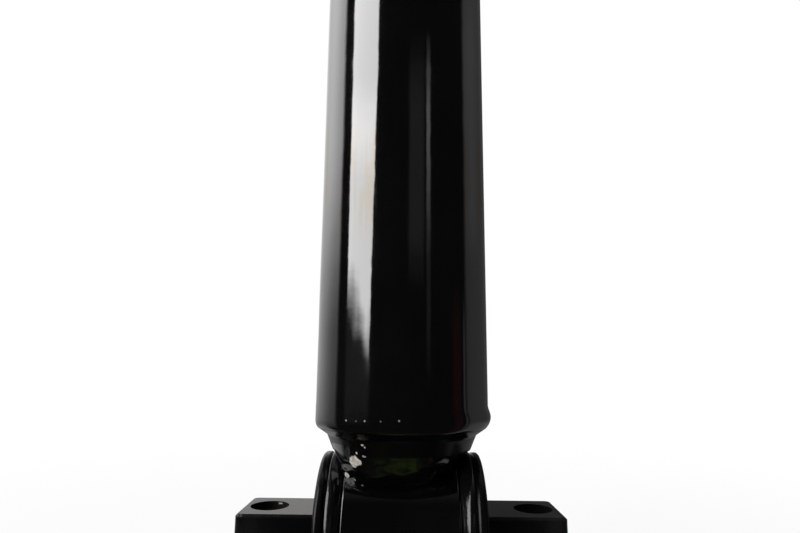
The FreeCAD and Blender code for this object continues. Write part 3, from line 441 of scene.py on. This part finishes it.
def join_rings(work, rings, closed=False):
    """Faces between neighbouring rings of vertices, and from the last ring to the first if closed."""
    following = rings[1:] + rings[:1] if closed else rings[1:]
    for low, high in zip(rings, following):
        for index in range(len(low)):
            after = (index + 1) % len(low)
            work.faces.new((low[index], low[after], high[after], high[index]))


# The weld between the neck and the eye, in the model's axes. Its toe runs round on the eye ring.
WELD_ANGLES = 200
CORNER_ROWS = 10
FLANK_ROWS = 14
TOE_LEFT = 16.4 * MM
TOE_RIGHT = 15.2 * MM
TOE_INSIDE_EYE = 0.5 * MM
TOE_DROP = math.radians(43.0)
TOE_DROP_MORE_LEFT = math.radians(4.0)
TOE_SQUARENESS_LEFT = 3.8
TOE_SQUARENESS_RIGHT = 2.1
TOE_WAVER_ALONG = 0.4 * MM
TOE_WAVER_DOWN = math.radians(2.0)
TOE_SINK = 0.3 * MM
NECK_OVERLAP = 3.4 * MM
NECK_SLOPE = 1.7 / 4.1
NECK_SINK = 0.06 * MM
CORNER_SWELL = 0.1 * MM
CORNER_REACH = 4.0 * MM
WELD_CORE = 12.6 * MM
WELD_CORE_IN_NECK = 0.9 * NECK_OVERLAP
# How far the flank bulges, and from which share of the way down
WELD_BULGE = 0.45 * MM
BULGE_START = 0.25
# Size and height of the weld's lumps, coarse and fine, and the share of them at its left and right
WELD_LUMPS = [(3.6 * MM, 0.3 * MM), (1.4 * MM, 0.06 * MM)]
LUMPS_AT_SIDES = 0.35


def weld_toe(angle):
    """Where the weld's toe meets the eye ring, at an angle round the tube's axis."""
    side = math.cos(angle)
    front = math.sin(angle)
    bow = 2 / (TOE_SQUARENESS_RIGHT if side > 0 else TOE_SQUARENESS_LEFT)
    waver = noise.noise(Vector((side * 3.0, front * 3.0, 5.0)))
    reach = TOE_RIGHT if side > 0 else TOE_LEFT
    along = math.copysign(abs(side) ** bow, side) * (reach + waver * TOE_WAVER_ALONG)
    along = max(along, eye_low.x + TOE_INSIDE_EYE)
    drop = TOE_DROP + TOE_DROP_MORE_LEFT * max(-side, 0.0) + waver * TOE_WAVER_DOWN
    round_eye = math.copysign(abs(front) ** bow, front) * drop
    radius = eye_radius - TOE_SINK
    return Vector((along, radius * math.sin(round_eye), eye_height + radius * math.cos(round_eye)))


def weld_profile(angle):
    """Points of the weld from the neck's cone down to its toe, before it is made lumpy."""
    outward = Vector((math.cos(angle), math.sin(angle), 0.0))
    corner = outward * weld_high.x + Vector((0, 0, weld_high.z))
    down_cone = (-NECK_SLOPE * outward - Vector((0, 0, 1.0))).normalized()
    toe = weld_toe(angle)
    flank = toe - corner
    start = corner - down_cone * NECK_OVERLAP - outward * NECK_SINK
    bend = corner + outward * CORNER_SWELL
    end = corner + flank * min(CORNER_REACH / flank.length, 0.5)
    points = []
    for row in range(CORNER_ROWS):
        share = row / CORNER_ROWS
        points.append(start * (1 - share) ** 2 + bend * 2 * share * (1 - share) + end * share ** 2)
    for row in range(FLANK_ROWS + 1):
        points.append(end.lerp(toe, row / FLANK_ROWS))
    return points


def build_weld(work):
    """A lumpy bead blended onto the neck, closed inside the cap and the eye ring."""
    angles = [2 * math.pi * index / WELD_ANGLES for index in range(WELD_ANGLES)]
    profiles = [weld_profile(angle) for angle in angles]
    rows = CORNER_ROWS + FLANK_ROWS + 1
    rings = []
    for row in range(rows):
        ring = []
        share = row / (rows - 1)
        swell = math.sin(math.pi * min(max((share - BULGE_START) / (1 - BULGE_START), 0.0), 1.0))
        for index, angle in enumerate(angles):
            here = profiles[index][row]
            along = profiles[(index + 1) % WELD_ANGLES][row] - profiles[index - 1][row]
            down = profiles[index][min(row + 1, rows - 1)] - profiles[index][max(row - 1, 0)]
            normal = down.cross(along).normalized()
            if normal.dot(Vector((math.cos(angle), math.sin(angle), 0.0))) < 0:
                normal = -normal
            lump = sum(noise.noise(here / size) * height for size, height in WELD_LUMPS)
            lump *= LUMPS_AT_SIDES + (1 - LUMPS_AT_SIDES) * math.sin(angle) ** 2
            ring.append(work.verts.new(here + normal * (WELD_BULGE * swell + lump * swell ** 0.7)))
        rings.append(ring)
    core = [(WELD_CORE * math.cos(angle), WELD_CORE * math.sin(angle)) for angle in angles]
    rings.append([work.verts.new((x, y, eye_height + math.sqrt(eye_radius ** 2 - y ** 2) - 2 * TOE_SINK))
                  for x, y in core])
    rings.append([work.verts.new((x, y, weld_high.z + WELD_CORE_IN_NECK)) for x, y in core])
    join_rings(work, rings, closed=True)


# The bead that closes the tube, millimetres: radius and height above its lower edge, and how much more it
# flares on the right
BEAD_ANGLES = 240
BEAD_HEIGHT = 6.0
BEAD_PROFILE = [
    (24.0, 0.0), (24.6, 0.0), (24.85, 0.12), (25.05, 0.35), (25.2, 0.7), (25.31, 1.1), (25.385, 1.6),
    (25.42, 2.2), (25.425, 2.8), (25.423, 3.4), (25.42, 4.0), (25.415, 4.7), (25.41, 5.4),
    (25.406, BEAD_HEIGHT), (24.6, 6.02)]
BEAD_FLARE_RIGHT = 0.75
BEAD_WAVER = 0.02


def build_bead(work):
    """A smooth seam that flares out most on its right side, with slight unevenness."""
    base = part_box("base_seam_weld")[0].z
    rings = []
    for radius, height in BEAD_PROFILE:
        swell = max(math.sin(math.pi * min(height / BEAD_HEIGHT, 1.0)), 0.0) ** 1.5
        ring = []
        for index in range(BEAD_ANGLES):
            angle = 2 * math.pi * index / BEAD_ANGLES
            outward = Vector((math.cos(angle), math.sin(angle), 0.0))
            flare = BEAD_FLARE_RIGHT * max(math.cos(angle), 0.0) ** 3
            waver = BEAD_WAVER * noise.noise(outward * 3.0 + Vector((0, 0, height * 0.3)))
            reach = (radius + swell * (flare + waver)) * MM
            ring.append(work.verts.new(outward * reach + Vector((0, 0, base + height * MM))))
        rings.append(ring)
    join_rings(work, rings, closed=True)


# The rubber bush, turned about the bar. Its shoulders swell from the eye ring out to the bush washers.
BUSH_ANGLES = 160
BUSH_BORE = 8.55 * MM
BUSH_IN_EYE = 16.0 * MM
SHOULDER_FOOT = 18.0 * MM
SHOULDER_RIM = 21.0 * MM
RIM_LIFT_LEFT = 0.1 * MM
RIM_LIFT_RIGHT = 0.4 * MM
# Along a shoulder, from 0 at the eye ring to 1 at the washer: the share of the swelling round the sides and
# below, and the share on top, where the weld leaves less room
SHOULDER_SHAPE = [
    (0.01, -0.4, -0.4), (0.01, 0.15, 0.2), (0.05, 0.34, 0.34), (0.12, 0.52, 0.44), (0.22, 0.7, 0.55),
    (0.35, 0.86, 0.67), (0.48, 0.96, 0.77), (0.6, 1.0, 0.86), (0.73, 0.985, 0.93), (0.86, 0.93, 0.98),
    (0.95, 0.87, 0.99), (1.0, 0.82, 0.96)]


def build_bush(work):
    """Rubber tube in the eye ring, with a shoulder at each end that rises a little over the washers' tops."""
    start = eye_high.x
    right = [(start, BUSH_IN_EYE, 0.0, 0.0)]
    right += [(start + (bush_end - start) * along, SHOULDER_FOOT, side_swell, top_swell)
              for along, side_swell, top_swell in SHOULDER_SHAPE]
    right.append((bush_end, BUSH_BORE, 0.0, 0.0))
    profile = [(-along, *rest) for along, *rest in reversed(right)] + right
    rings = []
    for along, radius, side_swell, top_swell in profile:
        ring = []
        for index in range(BUSH_ANGLES):
            angle = 2 * math.pi * index / BUSH_ANGLES
            on_top = max(math.cos(angle), 0.0) ** 2
            rim = SHOULDER_RIM + (RIM_LIFT_RIGHT if along > 0 else RIM_LIFT_LEFT) * on_top
            reach = radius + (side_swell + (top_swell - side_swell) * on_top) * (rim - radius)
            up = eye_height + reach * math.cos(angle)
            ring.append(work.verts.new((along, reach * math.sin(angle), up)))
        rings.append(ring)
    join_rings(work, rings, closed=True)


# The rod with its two threads, millimetres. A thread's crest and root are the flat shares of its pitch.
ROD_ANGLES = 48
ROD_TOP_BELOW_COVER = 2.0
ROD_TOP_CHAMFER = 0.4
SHOULDER_CHAMFER = 0.8
STOP_GROOVE_DEPTH = 0.8
THREAD_RADIUS = 5.0
THREAD_PITCH = 1.25
THREAD_DEPTH = 0.7
THREAD_CREST = 0.12
THREAD_ROOT = 0.16
THREAD_CHAMFER = 0.8
THREAD_STEPS = 8
STEM_THREAD = 30.0
SPINDLE_THREAD = 12.0
TANG_FLATS = 6.0
TANG_HEIGHT = 6.0


def thread_rows(low, high):
    """Rings of a threaded stretch, close enough to show its thread."""
    count = int((high - low) / THREAD_PITCH * THREAD_STEPS)
    return [(low + (high - low) * step / count, THREAD_RADIUS, True) for step in range(count + 1)]


def rod_outline():
    """(height, radius, whether it is threaded) of each ring of the rod, millimetres, from the bottom up."""
    full = rod_radius / MM
    groove = full - STOP_GROOVE_DEPTH
    bottom = rod_low.z / MM
    shoulder = shoulder_height / MM
    stop_bottom = stop_low.z / MM
    stop_top = stop_high.z / MM
    rod_top = cover_cap_top / MM - ROD_TOP_BELOW_COVER
    top = rod_high.z / MM
    plain = [(shoulder, THREAD_RADIUS), (shoulder, full - SHOULDER_CHAMFER),
             (shoulder + SHOULDER_CHAMFER, full),
             (stop_bottom, full), (stop_bottom, groove), (stop_top, groove), (stop_top, full),
             (rod_top - ROD_TOP_CHAMFER, full), (rod_top, full - ROD_TOP_CHAMFER), (rod_top, THREAD_RADIUS)]
    outline = [(bottom, THREAD_RADIUS - THREAD_CHAMFER, False)]
    outline += thread_rows(bottom + THREAD_CHAMFER, bottom + SPINDLE_THREAD)
    outline += [(height, radius, False) for height, radius in plain]
    outline += thread_rows(top - TANG_HEIGHT - STEM_THREAD, top - THREAD_CHAMFER)
    outline.append((top, THREAD_RADIUS - THREAD_CHAMFER, False))
    return outline


def thread_depth(height, angle):
    """How deep the thread is cut at a height and angle."""
    turn = (height / THREAD_PITCH - angle / (2 * math.pi)) % 1.0
    from_root = abs(turn - 0.5) * 2
    share = (1 - THREAD_CREST - from_root) / (1 - THREAD_CREST - THREAD_ROOT)
    return THREAD_DEPTH * min(max(share, 0.0), 1.0)


def build_rod(work):
    """The rod, turned, with threads cut at both ends and two flats on the upper end."""
    top = rod_high.z / MM
    rings = []
    for height, radius, threaded in rod_outline():
        ring = []
        for index in range(ROD_ANGLES):
            angle = 2 * math.pi * index / ROD_ANGLES
            depth = thread_depth(height, angle) if threaded else 0.0
            across = (radius - depth) * math.cos(angle)
            if height > top - TANG_HEIGHT:
                across = min(max(across, -TANG_FLATS / 2), TANG_FLATS / 2)
            ring.append(work.verts.new((across * MM, (radius - depth) * math.sin(angle) * MM, height * MM)))
        rings.append(ring)
    join_rings(work, rings)
    for ring in (rings[0], rings[-1]):
        work.faces.new(ring)


# The new pieces: the node each stands for, its name, what builds it and, in degrees, which edges stay sharp
PIECES = {
    "eye_weld": ("eye_weld_bead", build_weld, 180),
    "base_seam_weld": ("base_seam_bead", build_bead, 40),
    "piston_rod": ("threaded_rod", build_rod, 30),
    "bush_rubber": ("swollen_bush", build_bush, 60),
}
# Pale steel-coloured spots: the pixel of the photograph that shows the spot, its radius and how it is
# squeezed. On the weld and the cap they are pale steel-coloured spots. On the seam they are painted highlights
# on nibs in a row, and on the bar pin a painted highlight in the left bolt hole.
CHIPS_AND_GLINTS_PX = {
    "eye_weld": [
        ((354.9, 461.6), 1.55 * MM, (0.85, 0.9, 1.05)),
        ((346.6, 475.0), 0.8 * MM, (0.9, 1.0, 1.1)),
        ((362.2, 485.5), 0.32 * MM, (1.0, 1.0, 1.0)),
        ((356.5, 453.0), 0.30 * MM, (1.0, 1.0, 1.0)),
        ((364.0, 456.3), 0.36 * MM, (0.7, 1.0, 1.3)),
        ((355.0, 480.0), 0.22 * MM, (1.0, 1.0, 1.0)),
    ],
    "base_seam_weld": [
        ((346.0, 420.3), 0.19 * MM, (1.0, 1.0, 1.0)),
        ((364.6, 421.0), 0.20 * MM, (1.0, 1.0, 1.0)),
        ((399.0, 421.0), 0.18 * MM, (1.0, 1.0, 1.0)),
        ((356.0, 421.0), 0.12 * MM, (1.0, 1.0, 1.0)),
        ((380.6, 421.6), 0.12 * MM, (1.0, 1.0, 1.0)),
    ],
    "base_cap": [
        ((362.2, 445.2), 0.36 * MM, (0.9, 1.0, 1.4)),
        ((364.6, 447.6), 0.2 * MM, (1.0, 1.0, 1.0)),
    ],
    "bar_pin": [((280.7, 503.2), 0.8 * MM, (1.0, 1.0, 3.0))],
}
# A pixel that just misses its piece looks for it this far in front of the tube's axis
CHIPS_AND_GLINTS_FRONT = 0.7 * eye_radius


def seen_place(piece, pixel):
    """The point of a piece that a pixel of the photograph sees, or the nearest one if it just misses."""
    surface = BVHTree.FromPolygons([vertex.co for vertex in piece.data.vertices],
                                   [polygon.vertices[:] for polygon in piece.data.polygons])
    right, up, forward = camera_axes()
    across = (pixel[0] - PHOTO_MIDDLE_PX[0]) / FOCAL_PX
    down = (pixel[1] - PHOTO_MIDDLE_PX[1]) / FOCAL_PX
    way = (forward + across * right - down * up).normalized()
    place = surface.ray_cast(CAMERA_PLACE, way)[0]
    if place is None:
        beside = CAMERA_PLACE + way * ((-CHIPS_AND_GLINTS_FRONT - CAMERA_PLACE.y) / way.y)
        place = surface.find_nearest(beside)[0]
    return place


def make_pieces():
    """Put the new pieces in their nodes' places, and give the paint of the lower end pale steel-coloured
    spots, some of them painted highlights.
    """
    made = {}
    for node, (name, build, sharp) in PIECES.items():
        made[node] = add_mesh(name, build, sharp)
        finish_piece(made[node], node)
    for node, spots in CHIPS_AND_GLINTS_PX.items():
        piece = made.get(node, nodes[node])
        add_chips_and_glints(material_of(node), [(seen_place(piece, pixel), *shape) for pixel, *shape in spots])


def make_springs():
    """Copies of the valve springs, each standing in for its node, with the node's body and material."""
    for joint in frame["joints"]:
        for spring in joint.get("deforming_nodes", ()):
            node = spring["node"]
            coil = bpy.data.objects.new(node + "_coil", nodes[node].data.copy())
            bpy.context.scene.collection.objects.link(coil)
            coil.data.materials.clear()
            finish_piece(coil, node)
            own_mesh(coil)


# The room that the gloss paint mirrors, by direction: degrees round from the photograph's camera, minus to
# the left, and degrees above the horizon. A patch of it is written as from and to round, from and to above,
# how soft its edges are round and above, and its strength.
PALE_PATCHES = [
    (-78, -43, -6, 6, 3.0, 4.0, 0.05),  # glow under the window
    (8, 28, 11, 30, 3.0, 4.0, 0.07),  # pale things on the right
    (87.5, 90.5, -40, 5, 0.8, 3.0, 0.12),  # thin upright on the right
    (-190, -118, -70, -14, 7.0, 6.0, 0.2),  # floor on the left
    (96, 200, -70, -12, 8.0, 6.0, 0.09),  # floor on the right
    (-190, -159, 13, 27, 3.0, 3.0, 0.15),  # wall behind
]
GREEN_PATCH = (-60, 60, -95, -46, 24.0, 5.0, 0.14)
RED_PATCH = (70, 82, -60, 6, 4.0, 5.0, 0.05)
WINDOW_LIGHT = 5.1
CEILING_LIGHT = 0.1
CEILING_SIDE_LIGHT = 0.32
LEAST_LIGHT = 0.012
WARM_WHITE = (1.0, 0.86, 0.68, 1.0)
GREEN = (0.35, 0.62, 0.05, 1.0)
RED = (0.75, 0.08, 0.12, 1.0)


def room_light(write, way):
    """Colour and strength of the room in a direction, and how much of its white backdrop shows there."""
    times, total, ramp, band = write.times, write.total, write.ramp, write.band
    parts = write.add("ShaderNodeSeparateXYZ", {0: way}).node
    around = times(write.math("ARCTAN2", parts.outputs[0], times(parts.outputs[1], -1.0)), 180 / math.pi)
    above = times(write.math("ARCSINE", parts.outputs[2]), 180 / math.pi)
    uneven = write.math("SUBTRACT", write.noise(way, 5.0, 1.5), 0.5)

    def patch(from_way, to_way, low, high, soft_way, soft_above, strength):
        return times(band(around, from_way, to_way, soft_way), band(above, low, high, soft_above), strength)

    # The window's right edge leans, and its lower edge is ragged
    window_right = write.math("MINIMUM", write.line(above, 0.2, -43.5), -37.0)
    window_low = total(write.line(around, -0.12, -2.3), times(uneven, 7.0))
    window = times(
        ramp(around, -78.8, -77.0),
        ramp(write.math("SUBTRACT", window_right, around), -0.8, 0.8),
        ramp(write.math("SUBTRACT", above, window_low), -3.0, 4.5),
        ramp(above, 64.0, 60.0),
        total(WINDOW_LIGHT, times(band(above, 21.0, 27.0, 3.0), 1.3)))
    wall_low = times(total(0.30, ramp(around, -98.0, -132.0, 0.0, 0.28)),
                     total(0.45, ramp(above, -12.0, 2.0, 0.0, 0.55)),
                     write.math("MAXIMUM", ramp(above, -24.0, -10.0), ramp(around, -108.0, -120.0)))
    wall_high = times(ramp(above, 2.0, 24.0), ramp(above, 68.0, 50.0),
                      total(0.25, ramp(around, -150.0, -108.0)))
    wall_left = times(ramp(around, -91.0, -98.0), total(wall_low, wall_high))
    strip_right = times(band(around, 31.8, 37.0, 1.0), ramp(above, 34.0, 26.0),
                        total(times(ramp(above, 9.0, 26.0), 0.5), times(ramp(above, -3.0, 6.0), 0.05)))
    wall_right = times(ramp(around, 89.0, 97.0), total(0.06, times(
        ramp(around, 140.0, 100.0), total(0.05, times(band(above, 13.0, 35.0, 4.0), 0.06)))))
    ceiling = total(
        times(ramp(above, 50.0, 80.0), CEILING_LIGHT),
        times(ramp(above, 42.0, 64.0), ramp(write.math("ABSOLUTE", around), 50.0, 95.0), CEILING_SIDE_LIGHT))
    backdrop = times(total(ramp(around, -162.0, -165.0), ramp(around, 171.0, 174.0)),
                     band(above, -5.0, 5.0, 2.0))
    pale = [patch(*sizes) for sizes in PALE_PATCHES]
    streaks = write.noise(write.stretch(way, (2.5, 2.5, 14.0)), 1.0, 3.0)
    green = times(patch(*GREEN_PATCH), ramp(streaks, 0.48, 0.66))
    red = patch(*RED_PATCH)
    strength = total(window, wall_left, strip_right, wall_right, ceiling, *pale, LEAST_LIGHT, green, red)
    warm = times(ramp(write.noise(way, 5.0, 2.0), 0.5, 0.62), band(above, 14, 24, 3), 0.5)
    colour = write.mix(warm, grey(1.0), WARM_WHITE)
    colour = write.mix(write.math("DIVIDE", green, strength), colour, GREEN)
    colour = write.mix(write.math("DIVIDE", red, strength), colour, RED)
    return colour, strength, backdrop


# The floor. Its share of plain white grows with the distance from the middle, so that the shadow fades out.
FLOOR_HALF_WIDTH = 4.0
FLOOR_GAP = 0.4 * MM
FLOOR_FADE_FROM = 0.06
FLOOR_FADE_TO = 0.4
FLOOR_WHITE_NEAR = 0.9


def build_floor(work):
    """One flat square just below the model."""
    height = cad_box[0][2] - FLOOR_GAP
    corners = [(-1, -1), (1, -1), (1, 1), (-1, 1)]
    work.faces.new([work.verts.new((x * FLOOR_HALF_WIDTH, y * FLOOR_HALF_WIDTH, height)) for x, y in corners])


def make_floor():
    """A pale floor that keeps the shadow. Gloss paint mirrors the room through it."""
    floor = add_mesh("floor", build_floor)
    material = bpy.data.materials.new("pale_floor")
    material.use_nodes = True
    write = Nodes(material.node_tree)
    material.node_tree.nodes.clear()
    pale = write.add("ShaderNodeBsdfDiffuse", {"Color": grey(0.8)})
    white = write.add("ShaderNodeEmission", {"Color": grey(1.0), "Strength": 1.0})
    away = write.add("ShaderNodeVectorMath", {0: write.place()}, output=1, operation="LENGTH")
    share = write.ramp(away, FLOOR_FADE_FROM, FLOOR_FADE_TO, FLOOR_WHITE_NEAR, 1.0)
    background = write.add("ShaderNodeMixShader", {0: share, 1: pale, 2: white})
    clear = write.add("ShaderNodeBsdfTransparent", {"Color": grey(1.0)})
    rays = write.add("ShaderNodeLightPath").node
    seen = write.math("MAXIMUM", rays.outputs["Is Camera Ray"], rays.outputs["Is Transmission Ray"])
    surface = write.add("ShaderNodeMixShader", {0: seen, 1: pale, 2: background})
    surface = write.add("ShaderNodeMixShader", {0: rays.outputs["Is Glossy Ray"], 1: surface, 2: clear})
    write.add("ShaderNodeOutputMaterial", {"Surface": surface})
    floor.data.materials.append(material)


def make_world():
    """The room as soft light all round, with a white backdrop that the camera, glass and gloss paint see."""
    world = bpy.data.worlds.new("studio")
    bpy.context.scene.world = world
    world.use_nodes = True
    write = Nodes(world.node_tree)
    world.node_tree.nodes.clear()
    colour, strength, backdrop = room_light(write, write.add("ShaderNodeTexCoord", output="Generated"))
    studio = write.add("ShaderNodeBackground", {"Color": colour, "Strength": strength})
    plain = write.add("ShaderNodeBackground", {"Color": grey(1.0), "Strength": 1.0})
    rays = write.add("ShaderNodeLightPath").node
    mirrored = write.times(rays.outputs["Is Glossy Ray"], backdrop)
    seen = write.math("MAXIMUM", rays.outputs["Is Camera Ray"], rays.outputs["Is Transmission Ray"])
    both = write.add("ShaderNodeMixShader", {0: write.math("MAXIMUM", seen, mirrored), 1: studio, 2: plain})
    write.add("ShaderNodeOutputWorld", {"Surface": both})


def camera_axes():
    """Right, up and forward of the photograph's camera: level yaw, then pitch, then roll."""
    turn = Matrix.Rotation(YAW, 3, "Z") @ Matrix.Rotation(PITCH_UP, 3, "X")
    right = turn @ Vector((1, 0, 0))
    up = turn @ Vector((0, 0, 1))
    forward = turn @ Vector((0, 1, 0))
    rolled_right = math.cos(ROLL) * right + math.sin(ROLL) * up
    rolled_up = math.cos(ROLL) * up - math.sin(ROLL) * right
    return rolled_right, rolled_up, forward


def make_camera():
    """The camera that took the photograph."""
    right, up, forward = camera_axes()
    camera = bpy.data.objects.new("camera", bpy.data.cameras.new("camera"))
    bpy.context.scene.collection.objects.link(camera)
    camera.data.sensor_width = SENSOR_MM
    camera.data.sensor_fit = "HORIZONTAL"
    camera.data.lens = FOCAL_PX / PHOTO_WIDTH_PX * SENSOR_MM
    camera.data.clip_start = 0.01
    axes = Matrix((right, up, -forward)).transposed()
    camera.matrix_world = Matrix.Translation(CAMERA_PLACE) @ axes.to_4x4()
    bpy.context.scene.camera = camera


dress_nodes()
make_pieces()
make_springs()
make_floor()
make_world()
make_camera()
bpy.context.scene.view_settings.view_transform = "Standard"
